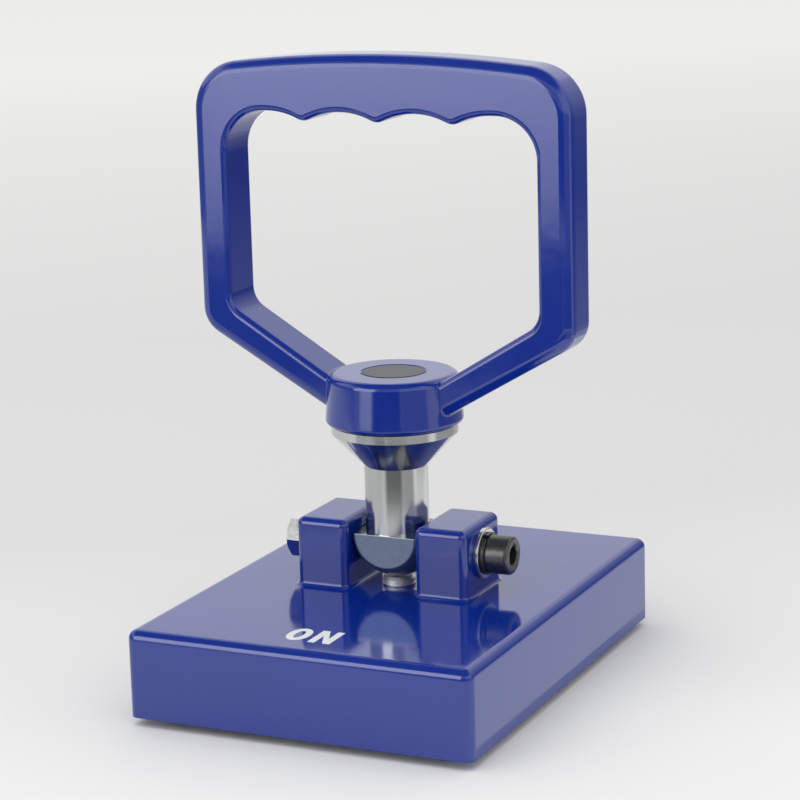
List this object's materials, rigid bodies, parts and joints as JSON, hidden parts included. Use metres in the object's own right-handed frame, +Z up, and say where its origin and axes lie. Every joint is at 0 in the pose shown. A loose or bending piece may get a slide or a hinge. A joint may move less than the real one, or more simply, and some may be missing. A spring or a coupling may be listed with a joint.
{
  "type": "permanent magnetic lifter",
  "caption": "Hand-held permanent magnetic lifter: low block with round magnets below and an upright looped grip that tilts on a bolt, so that its cam pushes a rod out and frees the load.",
  "frame": {"origin": "middle of the plane of the magnet faces, below the push rod", "axes": "+Z up along the rod and the upright stem, X along the pivot bolt with its head at +X, -Y the side that the picture shows in front"},
  "size_m": [0.1338, 0.1586, 0.2091],
  "materials": {
    "block_paint": "deep blue gloss paint on a machined steel block",
    "handle_paint": "deep blue gloss paint on an aluminium casting",
    "chrome": "bright chrome plate on a turned steel stem",
    "bronze": "bored bronze bush",
    "plate_steel": "milled steel",
    "magnet": "black coated sintered magnet",
    "black_steel": "black oxide",
    "zinc_steel": "bright zinc plate",
    "ground_steel": "ground steel",
    "spring_steel": "oiled spring wire"
  },
  "bodies": {
    "base": {"housing": "block_paint", "magnet_plate": "plate_steel", "plate_screws": "black_steel", "magnet_column_1": "magnet", "magnet_column_2": "magnet", "magnet_column_3": "magnet", "magnet_column_4": "magnet", "magnet_column_5": "magnet", "magnet_column_6": "magnet", "rod_bush": "bronze", "return_spring": "spring_steel", "pivot_bolt": "black_steel", "bolt_washer": "zinc_steel", "lock_washer": "black_steel", "nut_washer": "zinc_steel", "pivot_nut": "zinc_steel"},
    "lever": {"handle": "handle_paint", "stem": "chrome", "knuckle_bush": "bronze"},
    "plunger": {"push_rod": "ground_steel", "push_foot": "ground_steel", "foot_screw": "zinc_steel"}
  },
  "joints": [
    {"name": "lever_tilt", "type": "hinge", "parent": "base", "child": "lever", "pos_m": [0, 0, 0.045], "axis": [-1, 0, 0], "range_deg": [0, 60]},
    {"name": "plunger_slide", "type": "slide", "parent": "base", "child": "plunger", "axis": [0, 0, -1], "range_m": [0, 0.0023], "deforming": ["return_spring"]}
  ],
  "couplings": [
    {"joint": "plunger_slide", "follows": "lever_tilt", "m_per_rad": 0.0021963}
  ]
}
